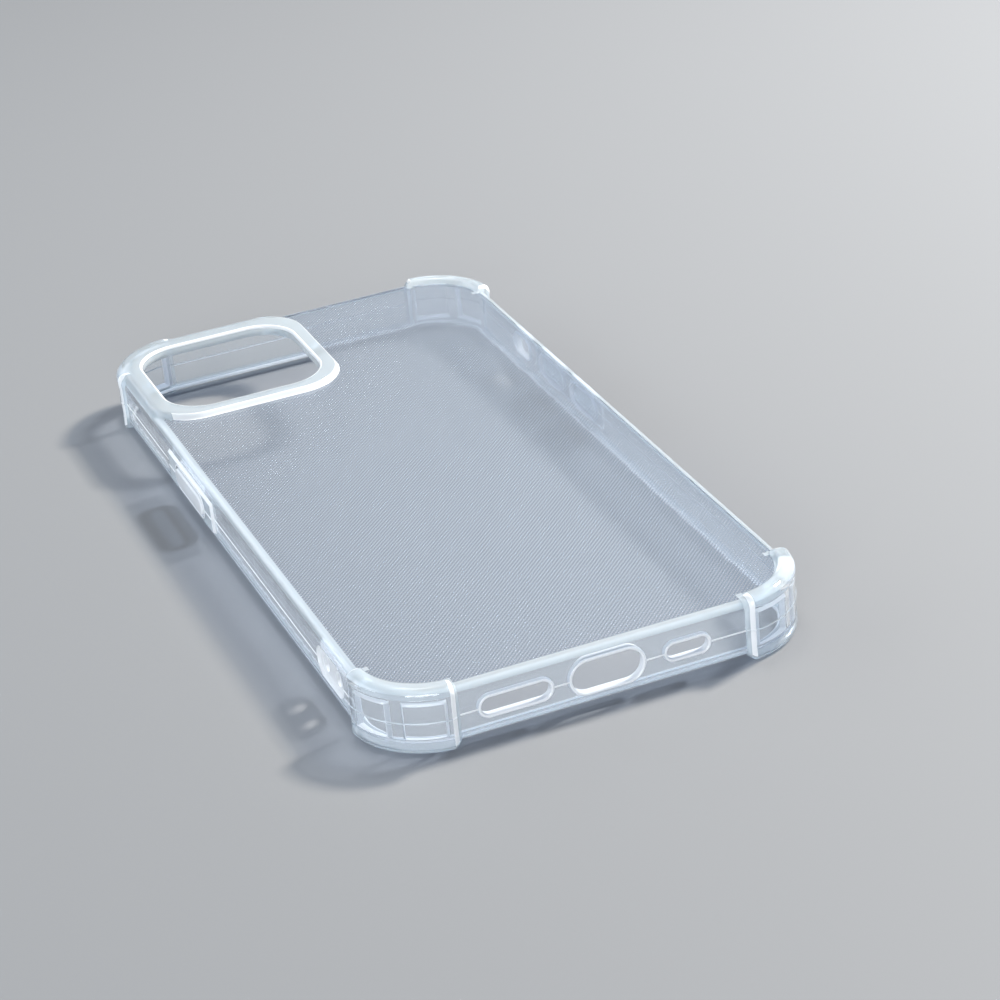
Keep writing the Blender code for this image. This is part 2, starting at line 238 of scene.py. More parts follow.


# which finish the strip from one profile point to the next gets between two stations; lit guard
# shoulders, the parting bead on the walls, block slopes, the lip tip and pocket ledges get the
# painted highlight
def stripFinish(index, guard, nextGuard, pocket, nextPocket, block, nextBlock):
    inBlock, inPocket = index - blockStart, index - pocketStart
    onWall = guard < 0.5
    if abs(guard - nextGuard) > changing and index < blockEnd:
        lit = index >= guardShoulder and guard + nextGuard > 1.1
        return paintedHighlightFinish if lit else thickFinish
    if index < (flatStrips if onWall else 1):
        return panelFinish
    if index < roofCount - 4:
        return thickFinish
    if index in beadStrips:
        return paintedHighlightFinish if onWall else thickFinish
    if 0 <= inBlock < len(blockShare) - 1 and block + nextBlock > 0.1:
        slope = abs(block - nextBlock) > changing or blockShare[inBlock] != blockShare[inBlock + 1]
        return paintedHighlightFinish if slope else thickFinish
    if index in lipTipStrips:
        return paintedHighlightFinish
    if blockEnd <= index < pocketStart - 1:
        return thickFinish
    if 0 <= inPocket < len(pocketShare) - 1 and pocket + nextPocket > 0.1:
        ledge = pocketShare[inPocket] != pocketShare[inPocket + 1]
        if ledge or abs(pocket - nextPocket) > changing / 2:
            return paintedHighlightFinish
    if index == len(wallPoints) - 2:
        return dotFinish
    return thickFinish if inPocket >= len(pocketShare) + 1 else wallFinish


# the wall's profile set up at one station of the rim
def placedProfile(foot, outward, guard, pocket, block):
    placed = []
    for index, (plain, raised) in enumerate(zip(wallPoints, guardPoints)):
        u = plain[0] + (raised[0] - plain[0]) * guard
        z = plain[1] + (raised[1] - plain[1]) * guard
        if 0 <= index - blockStart < len(blockShare):
            u += shell["blockOut"] * block * blockShare[index - blockStart]
        if 0 <= index - pocketStart < len(pocketShare):
            u += shell["pocketDepth"] * pocket * pocketShare[index - pocketStart]
        x, y = foot[0] + outward[0] * u, foot[1] + outward[1] * u
        if index < roofCount:
            z += ringRise(x, y) * (1 - max(z - plain[1], 0) / step)
        placed.append((x, y, z))
    return placed


# from start to end in equal steps no longer than the longest
def evenSteps(start, end, longest):
    count = max(int(math.ceil(abs(end - start) / longest)), 1)
    return [start + (end - start) * k / count for k in range(count + 1)]


blockMargin = {"right": 2.25, "left": 4.5}  # how far a raised block runs past its pads
blocks = {
    "right": (
        pads["volume_down_button"][0].y - blockMargin["right"],
        pads["volume_up_button"][1].y + blockMargin["right"],
    ),
    "left": (
        pads["power_button"][0].y - blockMargin["left"],
        pads["power_button"][1].y + blockMargin["left"],
    ),
}


# 1 on the raised block of a side, 0 beyond its slopes
def blockAmount(side, along):
    if side not in blocks:
        return 0.0
    (low, high), slope = blocks[side], shell["blockSlope"]
    return easeInOut(min(along - low + slope, high + slope - along) / slope)


# stations right round the case, counter-clockwise: four corners and the straight walls between
def rimStations():
    corner, stub, ramp = shell["corner"], shell["guardStub"], shell["guardRamp"]
    pocketEnd, pocketRamp = shell["pocketMargin"], shell["pocketRamp"]
    ribEdge = 45 - shell["pocketRib"]
    rampEnd = math.degrees(ramp / corner)
    angles = evenSteps(0, rampEnd, 0.7) + evenSteps(rampEnd, pocketEnd, 2.0)[1:]
    angles += evenSteps(pocketEnd, pocketEnd + pocketRamp, 0.45)[1:]
    angles += evenSteps(pocketEnd + pocketRamp, ribEdge - pocketRamp, shell["cornerStep"])[1:]
    angles += evenSteps(ribEdge - pocketRamp, ribEdge, 0.45)[1:] + [45 - shell["pocketRib"] / 2, 45]
    angles += [90 - angle for angle in reversed(angles[:-1])]
    stations = []
    quarters = ((1, -1, "right"), (1, 1, "top"), (-1, 1, "left"), (-1, -1, "bottom"))
    for quarter, (sx, sy, side) in enumerate(quarters):
        for angle in angles:
            turn = math.radians(angle + 90 * quarter - 90)
            outward = (math.cos(turn), math.sin(turn))
            foot = (sx * cornerX + corner * outward[0], sy * cornerY + corner * outward[1])
            fromEnd = min(angle, 90 - angle)
            guard = easeInOut((math.radians(fromEnd) * corner + stub) / (ramp + stub))
            pocket = easeInOut(min(fromEnd - pocketEnd, ribEdge - fromEnd) / pocketRamp)
            placed = placedProfile(foot, outward, guard, pocket, 0.0)
            stations.append((placed, guard, pocket, 0.0))
        stations += wallStations(side)
    return stations


# stations along one straight wall, without its two ends, closer together where its shape changes
def wallStations(side):
    sideways = side in ("right", "left")
    end, stub = cornerY if sideways else cornerX, shell["guardStub"]
    places = set(evenSteps(-end + stub, end - stub, shell["wallStep"]))
    for share in (0.33, 0.66):
        places |= {-end + stub * share, end - stub * share}
    if side in blocks:
        for edge, sign in ((blocks[side][0], -1), (blocks[side][1], 1)):
            places |= {edge + sign * shell["blockSlope"] * k / 4 for k in range(5)}
    ringEnd, ringStep = 11.0, 0.4  # closer where the camera guard's rounded corner crosses the wall
    if side == "left":
        places |= set(evenSteps(ringLow.y, ringLow.y + ringEnd, ringStep))
    if side == "top":
        places |= set(evenSteps(ringHigh.x - ringEnd, ringHigh.x, ringStep))
    ordered = sorted(places, reverse=side in ("top", "left"))
    outward = {"right": (1, 0), "top": (0, 1), "left": (-1, 0), "bottom": (0, -1)}[side]
    made = []
    for along in ordered:
        foot = (outward[0] * cavityX, along) if sideways else (along, outward[1] * cavityY)
        block = blockAmount(side, along)
        made.append((placedProfile(foot, outward, 0.0, 0.0, block), 0.0, 0.0, block))
    return made


# whether (x, y) is inside a closed loop, seen from above
def insideLoop(x, y, loop):
    crossings = False
    for (x1, y1, *_), (x2, y2, *_) in zip(loop, loop[1:] + loop[:1]):
        if (y1 > y) != (y2 > y) and x < x1 + (x2 - x1) * (y - y1) / (y2 - y1):
            crossings = not crossings
    return crossings


# triangles between two loops, through some extra points, at height(x, y); finish is for the
# back, the camera guard's top and its outer slope
def flatPatch(body, outerLoop, innerLoop, extra, height, finish):
    plan = [Vector(p[:2]) for p in outerLoop] + [Vector(p[:2]) for p in innerLoop]
    outer, inner = len(outerLoop), len(innerLoop)
    edges = [(k, (k + 1) % outer) for k in range(outer)]
    edges += [(outer + k, outer + (k + 1) % inner) for k in range(inner)]
    plan += [Vector(p) for p in extra]
    points, _, triangles, *_ = delaunay_2d_cdt(plan, edges, [], 1, 1e-6)
    verts = [body.verts.new((p.x, p.y, height(p.x, p.y))) for p in points]
    for triangle in triangles:
        centreX = sum(points[k].x for k in triangle) / 3
        centreY = sum(points[k].y for k in triangle) / 3
        if not insideLoop(centreX, centreY, innerLoop):
            face = body.faces.new([verts[k] for k in triangle])
            inRing = -roundedDistance(centreX, centreY, ringCentre, ringSize, ringCorner)
            onTop = inRing > cameraGuard["flank"]
            face.material_index = finish[0] if inRing < 0 else finish[1] if onTop else finish[2]


def windowLoop(offset):
    size = (cameraGuard["window"][0] + 2 * offset, cameraGuard["window"][1] + 2 * offset)
    return roundedOutline(windowCentre, size, cameraGuard["windowCorner"] + offset, 18)


# points along the camera guard's outer slope, kept clear of the rim's section
def flankPoints():
    inset = shell["roofStrip"] + 0.12
    size = (2 * (cavityX - inset), 2 * (cavityY - inset))
    kept = []
    for k in range(9):
        offset = -cameraGuard["flank"] * k / 8
        sizeHere = (ringSize[0] + 2 * offset, ringSize[1] + 2 * offset)
        loop = roundedOutline(ringCentre, sizeHere, ringCorner + offset, 26, 1.2)
        kept += [p for p in loop if roundedDistance(*p, (0, 0), size, shell["corner"] - inset) < 0]
    return kept


# walls of quads from each closed loop to the next
def bridgeLoops(body, loops, finish=0):
    rings = [[body.verts.new(p) for p in loop] for loop in loops]
    for first, second in zip(rings, rings[1:]):
        for k in range(len(first)):
            after = (k + 1) % len(first)
            face = body.faces.new((first[k], first[after], second[after], second[k]))
            face.material_index = finish
    return rings


sameSpot = 2e-4  # points nearer than this are merged, in millimetres
sliver = 2e-6  # and after a cut, in metres


# merges, turns faces out and makes the object, in metres
def finishMesh(name, body, sharpAngle=38.0):
    bmesh.ops.remove_doubles(body, verts=body.verts, dist=sameSpot)
    bmesh.ops.recalc_face_normals(body, faces=body.faces)
    mesh = bpy.data.meshes.new(name)
    body.to_mesh(mesh)
    body.free()
    mesh.transform(Matrix.Scale(mm, 4))
    mesh.shade_smooth()
    mesh.set_sharp_from_angle(angle=math.radians(sharpAngle))
    made = bpy.data.objects.new(name, mesh)
    bpy.context.scene.collection.objects.link(made)
    return made


# the one-piece moulding: rim, back, camera guard and its window
def makeShell():
    body = bmesh.new()
    stations = rimStations()
    rings = [([body.verts.new(p) for p in placed], *amounts) for placed, *amounts in stations]
    for one, two in zip(rings, rings[1:] + rings[:1]):
        (first, guard, pocket, block), (second, nextGuard, nextPocket, nextBlock) = one, two
        for k in range(len(first) - 1):
            face = body.faces.new((first[k], first[k + 1], second[k + 1], second[k]))
            finish = stripFinish(k, guard, nextGuard, pocket, nextPocket, block, nextBlock)
            onRing = finish == panelFinish and ringRise(first[k].co.x, first[k].co.y) > 0.02
            face.material_index = thickFinish if onRing else finish
    closeBack(body, [placed[0] for placed, *_ in stations], [placed[-1] for placed, *_ in stations])
    closeWindow(body)
    return finishMesh("case_shell", body)


# outer and inner face of the back, from the rim's two loops to the camera window
def closeBack(body, topLoop, underLoop):
    def raised(x, y):
        return panelTop + ringRise(x, y)

    def flat(x, y):
        return panelUnder

    # the camera guard's outer slope takes the painted highlight
    topFinish = (panelFinish, thickFinish, paintedHighlightFinish)
    underFinish = (dotFinish, wallFinish, wallFinish)
    flatPatch(body, topLoop, windowLoop(cameraGuard["edge"]), flankPoints(), raised, topFinish)
    inset = shell["roofStrip"] + 0.1
    size = (2 * (cavityX - inset), 2 * (cavityY - inset))
    radius = shell["corner"] - shell["roofStrip"]
    ringLoop = roundedOutline(ringCentre, ringSize, ringCorner, 16, 2.0)
    ringLoop = [p for p in ringLoop if roundedDistance(*p, (0, 0), size, radius) < 0]
    flatPatch(body, underLoop, windowLoop(cameraGuard["underEdge"]), ringLoop, flat, underFinish)


# the camera window's side, rounded at both ends; the upper rounding catches the light and gets the
# painted highlight
def closeWindow(body):
    edge, under = cameraGuard["edge"], cameraGuard["underEdge"]
    crest = panelTop + cameraGuard["rise"]
    upper, lower = [], []
    for turn in (math.radians(15 * k) for k in range(7)):
        upper.append((edge - edge * math.sin(turn), crest - edge + edge * math.cos(turn)))
    for turn in (math.radians(30 * k) for k in range(4)):
        lower.append((under - under * math.cos(turn), panelUnder + under - under * math.sin(turn)))
    for layers, finish in ((upper, paintedHighlightFinish), (upper[-1:] + lower, thickFinish)):
        bridgeLoops(body, [[(*p, z) for p in windowLoop(offset)] for offset, z in layers], finish)


# side, centre along, length, height, rim radius outside and inside
openings = {
    "port": ("bottom", 0.5, 12.0, 5.4, 0.55, 0.25),
    "speakerSlot": ("bottom", -14.9, 11.6, 3.0, 0.5, 0.25),
    "microphoneSlot": ("bottom", 14.2, 7.1, 2.5, 0.5, 0.25),
    "muteOpening": ("right", 42.4, 7.2, 3.8, 0.6, 0.45),
    "strapHoleHigh": ("left", -49.5, 2.2, 2.8, 0.2, 0.2),
    "strapHoleLow": ("left", -55.0, 2.2, 2.8, 0.2, 0.2),
}
padGap = 0.3
padRim = (0.25, 0.2)  # rim radius of a pad's opening, outside and inside
strapRecess = {
    "along": -52.25,
    "length": 12.5,
    "height": 5.6,
    # (out from its edge, out from the wall's face)
    "layers": ((-0.5, -0.5), (-0.2, -0.42), (0.0, -0.2), (0.03, 0.0), (0.03, 3.0)),
}
sidePlaces = {  # (along, height, outwards from the cavity) to (x, y, z)
    "bottom": lambda a, b, u: (a, -cavityY - u, b),
    "left": lambda a, b, u: (-cavityX - u, a, b),
    "right": lambda a, b, u: (cavityX + u, a, b),
}


# side, middle along the wall, length and height of a pad
def padPlace(low, high):
    side = "left" if low.x < 0 else "right"
    return side, (low.y + high.y) / 2, high.y - low.y, high.z - low.z


# slot-shaped outline, grown by offset all round
def roundEnded(along, length, height, offset, steps=9):
    size = (length + 2 * offset, height + 2 * offset)
    return roundedOutline((along, middle), size, min(size) / 2 - 1e-4, steps)


# a capped body through outlines; each layer is (outline, depth); by default it takes the painted
# highlight, which cut openings keep on their walls
def layeredBody(body, side, layers, finish=paintedHighlightFinish):
    place = sidePlaces[side]
    loops = [[place(a, b, depth) for a, b in outline] for outline, depth in layers]
    rings = bridgeLoops(body, loops, finish)
    for cap in (rings[0], rings[-1]):
        body.faces.new(cap).material_index = finish


# a cutter whose ends flare in a quarter round, which leaves the opening with rounded rims
def addOpening(body, side, along, length, height, outerRim, innerRim, outerFace):
    outerFoot = outerFace - outerRim
    layers = [(outerRim, outerFace + 3), (outerRim, outerFace + 0.01)]
    for turn in (math.radians(18 * k) for k in (1, 2, 3, 4, 5)):
        layers.append((outerRim - outerRim * math.sin(turn), outerFoot + outerRim * math.cos(turn)))
    for turn in (math.radians(18 * k) for k in (5, 4, 3, 2, 1)):
        layers.append((innerRim - innerRim * math.sin(turn), innerRim - innerRim * math.cos(turn)))
    layers += [(innerRim, -0.01), (innerRim, -3)]
    outlines = [(roundEnded(along, length, height, offset), depth) for offset, depth in layers]
    layeredBody(body, side, outlines)


# port, slots, mute opening, strap holes, pad openings and the strap recess
def cutOpenings(target):
    body = bmesh.new()
    for side, along, length, height, outerRim, innerRim in openings.values():
        addOpening(body, side, along, length, height, outerRim, innerRim, wall)
    for low, high in pads.values():
        side, along, length, height = padPlace(low, high)
        size = (length + 2 * padGap, height + 2 * padGap)
        addOpening(body, side, along, *size, *padRim, wall + shell["blockOut"])
    carve(target, finishMesh("cutter_openings", body))
    body = bmesh.new()
    place = (strapRecess["along"], strapRecess["length"], strapRecess["height"])
    layers = [(roundEnded(*place, offset), wall + depth) for offset, depth in strapRecess["layers"]]
    layeredBody(body, "left", layers)
    carve(target, finishMesh("cutter_strap", body))


# cuts one closed mesh from another; the cut faces keep the cutter's finish
def carve(target, cutter):
    for look in target.data.materials:
        cutter.data.materials.append(look)
    modifier = target.modifiers.new("carve", "BOOLEAN")
    modifier.operation, modifier.solver, modifier.object = "DIFFERENCE", "EXACT", cutter
    applyModifiers(target)
    bpy.data.objects.remove(cutter, do_unlink=True)


# puts the mesh that the modifiers make in place of the old one
def applyModifiers(target):
    bpy.context.view_layer.update()
    graph = bpy.context.evaluated_depsgraph_get()
    made = bpy.data.meshes.new_from_object(target.evaluated_get(graph))
    old = target.data
    target.modifiers.clear()
    target.data = made
    bpy.data.meshes.remove(old)
    made.name = target.name


# clears slivers left by a cut, then weights the normals by face area, so flat walls stay flat
def tidySurface(target, sharpAngle=38.0):
    body = bmesh.new()
    body.from_mesh(target.data)
    bmesh.ops.remove_doubles(body, verts=body.verts, dist=sliver)
    bmesh.ops.dissolve_degenerate(body, edges=body.edges, dist=sliver / 2)
    bmesh.ops.recalc_face_normals(body, faces=body.faces)
    body.to_mesh(target.data)
    body.free()
    target.data.shade_smooth()
    target.data.set_sharp_from_angle(angle=math.radians(sharpAngle))
    modifier = target.modifiers.new("weights", "WEIGHTED_NORMAL")
    modifier.keep_sharp, modifier.weight, modifier.mode = True, 50, "FACE_AREA"
    applyModifiers(target)


padShape = {
    "bevel": 0.45,  # rounding of the pressed face
    # pocket behind the pad for the phone's own key, then its back edge: (out from its edge, depth)
    "behind": ((-0.9, 0.3), (-0.75, 0.27), (-0.7, 0.15), (-0.65, 0.03), (-0.55, 0.0)),
    "backEdge": ((-0.1, 0.0), (-0.02, 0.03), (0.0, 0.1)),
    # section of the thin skirt round the pad: (out from its edge, out from the cavity)
    "web": ((0.33, 1.15), (0.33, 0.95), (0.2, 0.8), (-0.03, 0.6), (-0.03, 0.8), (0.1, 0.95)),
    "webStretch": (1.0, 0.7),  # where the skirt leaves the wall, and where it is all pad
}


# a push pad with a rounded edge and a shallow pocket behind it for the phone's own key
def makePad(name, low, high):
    side, along, length, height = padPlace(low, high)
    inner = min(abs(low.x), abs(high.x)) - cavityX
    outer = max(abs(low.x), abs(high.x)) - cavityX
    bevel = padShape["bevel"]
    back = padShape["behind"] + padShape["backEdge"]
    layers = [(offset, inner + depth) for offset, depth in back]
    for turn in (math.radians(15 * k) for k in range(7)):
        layers.append((-bevel + bevel * math.cos(turn), outer - bevel + bevel * math.sin(turn)))
    body = bmesh.new()
    outlines = [(roundEnded(along, length, height, offset), depth) for offset, depth in layers]
    layeredBody(body, side, outlines, 0)
    for face in body.faces:
        depths = [abs(v.co.x) - cavityX for v in face.verts]
        if min(depths) > outer - bevel - 0.01:
            # the pressed face and its rounded edge take the painted highlight in slot 1
            face.material_index = 1  # the pressed face and its rounded edge
    return finishMesh(name, body, 50.0)


# the thin flexible skirt that joins a pad to its wall
def makeWeb(name, low, high):
    side, *place = padPlace(low, high)
    toWall = sidePlaces[side]
    section = [(roundEnded(*place, offset), depth) for offset, depth in padShape["web"]]
    loops = [[toWall(a, b, depth) for a, b in outline] for outline, depth in section]
    body = bmesh.new()
    bridgeLoops(body, loops + loops[:1])
    return finishMesh(name, body, 60.0)


# bead that runs round each opening: radius, how far out from the edge, how deep its centre sits
rimBeads = {
    "opening": (0.30, 0.30, 0.20),
    "pad": (0.20, 0.20, 0.10),
    "inside": (0.30, 0.32, -0.24),
    "sides": 12,
}


# node tree that sweeps a round section along every loop of edges it is given
def rimTree(look):
    tree = bpy.data.node_groups.new("openingRim", "GeometryNodeTree")
    tree.interface.new_socket("Geometry", in_out="INPUT", socket_type="NodeSocketGeometry")
    radius = tree.interface.new_socket("Bead Radius", in_out="INPUT", socket_type="NodeSocketFloat")
    sides = tree.interface.new_socket("Bead Sides", in_out="INPUT", socket_type="NodeSocketInt")
    tree.interface.new_socket("Geometry", in_out="OUTPUT", socket_type="NodeSocketGeometry")
    nodes, links = tree.nodes, tree.links
    entry, leave = nodes.new("NodeGroupInput"), nodes.new("NodeGroupOutput")
    path = nodes.new("GeometryNodeMeshToCurve")
    section = nodes.new("GeometryNodeCurvePrimitiveCircle")
    sweep = nodes.new("GeometryNodeCurveToMesh")
    smooth = nodes.new("GeometryNodeSetShadeSmooth")
    realize = nodes.new("GeometryNodeRealizeInstances")
    dress = nodes.new("GeometryNodeSetMaterial")
    dress.inputs["Material"].default_value = look
    links.new(entry.outputs["Geometry"], path.inputs["Mesh"])
    links.new(entry.outputs["Bead Radius"], section.inputs["Radius"])
    links.new(entry.outputs["Bead Sides"], section.inputs["Resolution"])
    links.new(path.outputs["Curve"], sweep.inputs["Curve"])
    links.new(section.outputs["Curve"], sweep.inputs["Profile Curve"])
    links.new(sweep.outputs["Mesh"], smooth.inputs["Geometry"])
    links.new(smooth.outputs["Geometry"], realize.inputs["Geometry"])
    links.new(realize.outputs["Geometry"], dress.inputs["Geometry"])
    links.new(dress.outputs["Geometry"], leave.inputs["Geometry"])
    return tree, radius.identifier, sides.identifier


# one bead mesh round several openings; each is (side, along, length, height, face)
def makeRims(name, kind, places, treeAndSockets):
    radius, outward, sunk = rimBeads[kind]
    body = bmesh.new()
    for side, along, length, height, face in places:
        outline = roundEnded(along, length, height, outward, 16)
        loop = [body.verts.new(sidePlaces[side](a, b, face - sunk)) for a, b in outline]
        for first, second in zip(loop, loop[1:] + loop[:1]):
            body.edges.new((first, second))
    made = finishMesh(name, body)
    tree, radiusSocket, sidesSocket = treeAndSockets
    modifier = made.modifiers.new("beads", "NODES")
    modifier.node_group = tree
    modifier[radiusSocket], modifier[sidesSocket] = radius * mm, rimBeads["sides"]
    applyModifiers(made)
    body = bmesh.new()
    body.from_mesh(made.data)
    bmesh.ops.recalc_face_normals(body, faces=body.faces)
    body.to_mesh(made.data)
    body.free()
    made.data.shade_smooth()
    return made


def newMaterial(name):
    made = bpy.data.materials.new(name)
    made.use_nodes = True
    return made, made.node_tree, made.node_tree.nodes["Principled BSDF"]


plasticSurface = {
    "Wave Size": 140.0,
    "Wave Depth": 0.15,
    "Base Roughness": 0.05,
    "Haze Roughness": 0.10,
}


# shared effect: faint flow waviness, fine haze and handling marks of a flexible moulding
def mouldedSurface():
    group = bpy.data.node_groups.new("mouldedSurface", "ShaderNodeTree")
    for name, value in plasticSurface.items():
        socket = group.interface.new_socket(name, in_out="INPUT", socket_type="NodeSocketFloat")
        socket.default_value = value
    group.interface.new_socket("Roughness", in_out="OUTPUT", socket_type="NodeSocketFloat")
    group.interface.new_socket("Normal", in_out="OUTPUT", socket_type="NodeSocketVector")
    nodes, links = group.nodes, group.links
    entry, leave = nodes.new("NodeGroupInput"), nodes.new("NodeGroupOutput")
    place = nodes.new("ShaderNodeTexCoord")
    waves, haze = nodes.new("ShaderNodeTexNoise"), nodes.new("ShaderNodeTexNoise")
    waves.inputs["Detail"].default_value = 2.0
    links.new(place.outputs["Object"], waves.inputs["Vector"])
    links.new(entry.outputs["Wave Size"], waves.inputs["Scale"])
    bump = nodes.new("ShaderNodeBump")
    bump.inputs["Distance"].default_value = 0.0004
    links.new(entry.outputs["Wave Depth"], bump.inputs["Strength"])
    links.new(waves.outputs["Fac"], bump.inputs["Height"])
    haze.inputs["Scale"].default_value = 60.0
    haze.inputs["Detail"].default_value = 6.0
    links.new(place.outputs["Object"], haze.inputs["Vector"])
    spread = nodes.new("ShaderNodeMapRange")
    spread.inputs["From Min"].default_value = 0.35
    spread.inputs["From Max"].default_value = 0.75
    links.new(haze.outputs["Fac"], spread.inputs["Value"])
    links.new(entry.outputs["Base Roughness"], spread.inputs["To Min"])
    links.new(entry.outputs["Haze Roughness"], spread.inputs["To Max"])
    links.new(spread.outputs["Result"], leave.inputs["Roughness"])
    links.new(bump.outputs["Normal"], leave.inputs["Normal"])
    return group


surfaceGroup = mouldedSurface()

dots = {
    "pitch": 0.57,
    "turn": 45.0,
    "edgeIn": 0.14,  # distance from a dot's middle where its slope begins
    "edgeOut": 0.24,
    "height": 0.02,
    # lighter on the dots and darker between: painted glints and shade over the real dot pattern
    "onDot": (1.0, 1.0, 1.0),
    "between": (0.88, 0.92, 0.96),
    "darkBetween": (0.38, 0.47, 0.60),
    "smooth": 0.02,  # roughness between the dots and on them
    "rough": 0.16,
    "transmission": 0.90,
}


# shared effect: a square grid of dots turned to the diagonal, as a mask that is 1 on each dot
def dotLattice():
    group = bpy.data.node_groups.new("dotLattice", "ShaderNodeTree")
    for name in ("Inner Edge", "Outer Edge"):
        group.interface.new_socket(name, in_out="INPUT", socket_type="NodeSocketFloat")
    group.interface.new_socket("Mask", in_out="OUTPUT", socket_type="NodeSocketFloat")
    nodes, links = group.nodes, group.links
    entry, leave = nodes.new("NodeGroupInput"), nodes.new("NodeGroupOutput")
    place = nodes.new("ShaderNodeTexCoord")
    turned = nodes.new("ShaderNodeMapping")
    turned.inputs["Rotation"].default_value = (0, 0, math.radians(dots["turn"]))
    turned.inputs["Scale"].default_value = (1 / (dots["pitch"] * mm),) * 3
    links.new(place.outputs["Object"], turned.inputs["Vector"])
    cell = nodes.new("ShaderNodeTexVoronoi")
    cell.voronoi_dimensions = "2D"
    cell.inputs["Scale"].default_value = 1.0
    cell.inputs["Randomness"].default_value = 0.0
    links.new(turned.outputs["Vector"], cell.inputs["Vector"])
    dome = nodes.new("ShaderNodeMapRange")
    dome.interpolation_type = "SMOOTHSTEP"
    links.new(entry.outputs["Outer Edge"], dome.inputs["From Min"])
    links.new(entry.outputs["Inner Edge"], dome.inputs["From Max"])
    links.new(cell.outputs["Distance"], dome.inputs["Value"])
    links.new(dome.outputs["Result"], leave.inputs["Mask"])
    return group


dotGroup = dotLattice()


# a material's dots: they tint its base colour, lighter on the dots and darker between, painted
# glints and shade that make the real dot pattern show; the mask is for other uses
def addDots(tree, shader, between):
    lattice = tree.nodes.new("ShaderNodeGroup")
    lattice.node_tree = dotGroup
    lattice.inputs["Inner Edge"].default_value = dots["edgeIn"] / dots["pitch"]
    lattice.inputs["Outer Edge"].default_value = dots["edgeOut"] / dots["pitch"]
    tint = tree.nodes.new("ShaderNodeMix")
    tint.data_type = "RGBA"
    tint.inputs["A"].default_value = (*between, 1)
    tint.inputs["B"].default_value = (*dots["onDot"], 1)
    tree.links.new(lattice.outputs["Mask"], tint.inputs["Factor"])
    tree.links.new(tint.outputs["Result"], shader.inputs["Base Color"])
    return lattice.outputs["Mask"]


plasticIor = 1.48
# transmission, base colour, roughness low and high, how much of a lamp's light passes
clearParts = {
    "clear_tpu": (0.91, (0.93, 0.97, 1.0), 0.02, 0.06, (0.68, 0.72, 0.78)),
    "panel_tpu": (0.89, (0.96, 0.985, 1.0), 0.02, 0.06, (0.90, 0.92, 0.95)),
    "thick_tpu": (0.68, (0.84, 0.93, 1.0), 0.03, 0.10, (0.42, 0.47, 0.54)),
    # painted highlight: the same plastic made whiter and less see-through, for edges and outlines
    # that catch the light
    "painted_highlight_tpu": (0.26, (0.95, 0.975, 1.0), 0.05, 0.14, (0.40, 0.45, 0.52)),
}
glow = {"thick_tpu": (0.6, 0.0016)}  # light that spreads inside: share and reach in metres
noGlow = (0.0, 0.001)


# lets lamp light pass, tinted, so the case doesn't shade the floor like a solid block
def seeThrough(tree, shader, shadeColour):
    through = tree.nodes.new("ShaderNodeBsdfTransparent")
    through.inputs["Color"].default_value = (*shadeColour, 1)
    path = tree.nodes.new("ShaderNodeLightPath")
    surface = shader.outputs["BSDF"]
    for kind in ("Is Diffuse Ray", "Is Shadow Ray"):
        either = tree.nodes.new("ShaderNodeMixShader")
        tree.links.new(path.outputs[kind], either.inputs["Fac"])
        tree.links.new(surface, either.inputs[1])
        tree.links.new(through.outputs["BSDF"], either.inputs[2])
        surface = either.outputs["Shader"]
    tree.links.new(surface, tree.nodes["Material Output"].inputs["Surface"])


# clear flexible plastic: mostly see-through, with a little blue-white body where it is thick; the
# painted-highlight copy is whiter and less see-through, for edges that catch the light
def clearTpu(name):
    transmission, colour, smooth, hazy, shade = clearParts[name]
    made, tree, shader = newMaterial(name)
    shader.inputs["Base Color"].default_value = (*colour, 1)
    shader.inputs["IOR"].default_value = plasticIor
    shader.inputs["Transmission Weight"].default_value = transmission
    share, reach = glow.get(name, noGlow)
    shader.inputs["Subsurface Weight"].default_value = share
    shader.inputs["Subsurface Scale"].default_value = reach
    shader.inputs["Subsurface Radius"].default_value = (0.9, 0.96, 1.0)
    surface = tree.nodes.new("ShaderNodeGroup")
    surface.node_tree = surfaceGroup
    surface.inputs["Base Roughness"].default_value = smooth
    surface.inputs["Haze Roughness"].default_value = hazy
    tree.links.new(surface.outputs["Roughness"], shader.inputs["Roughness"])
    tree.links.new(surface.outputs["Normal"], shader.inputs["Normal"])
    # the real dot pattern of the inner face, painted on the thin back as light dots on darker gaps:
    # painted glints and shade
    if name == "panel_tpu":  # the dots behind show through the thin back
        addDots(tree, shader, dots["darkBetween"])
    seeThrough(tree, shader, shade)
    return made


# the panel's inner face: raised anti-cling dots
def dottedTpu(name):
    made, tree, shader = newMaterial(name)
    shader.inputs["IOR"].default_value = plasticIor
    shader.inputs["Transmission Weight"].default_value = dots["transmission"]
    mask = addDots(tree, shader, dots["between"])
    bump = tree.nodes.new("ShaderNodeBump")
    bump.inputs["Strength"].default_value = 1.0
    bump.inputs["Distance"].default_value = dots["height"] * mm
    tree.links.new(mask, bump.inputs["Height"])
    tree.links.new(bump.outputs["Normal"], shader.inputs["Normal"])
    rough = tree.nodes.new("ShaderNodeMapRange")
    rough.inputs["To Min"].default_value = dots["smooth"]
    rough.inputs["To Max"].default_value = dots["rough"]
    tree.links.new(mask, rough.inputs["Value"])
    tree.links.new(rough.outputs["Result"], shader.inputs["Roughness"])
    seeThrough(tree, shader, clearParts["panel_tpu"][-1])
    return made


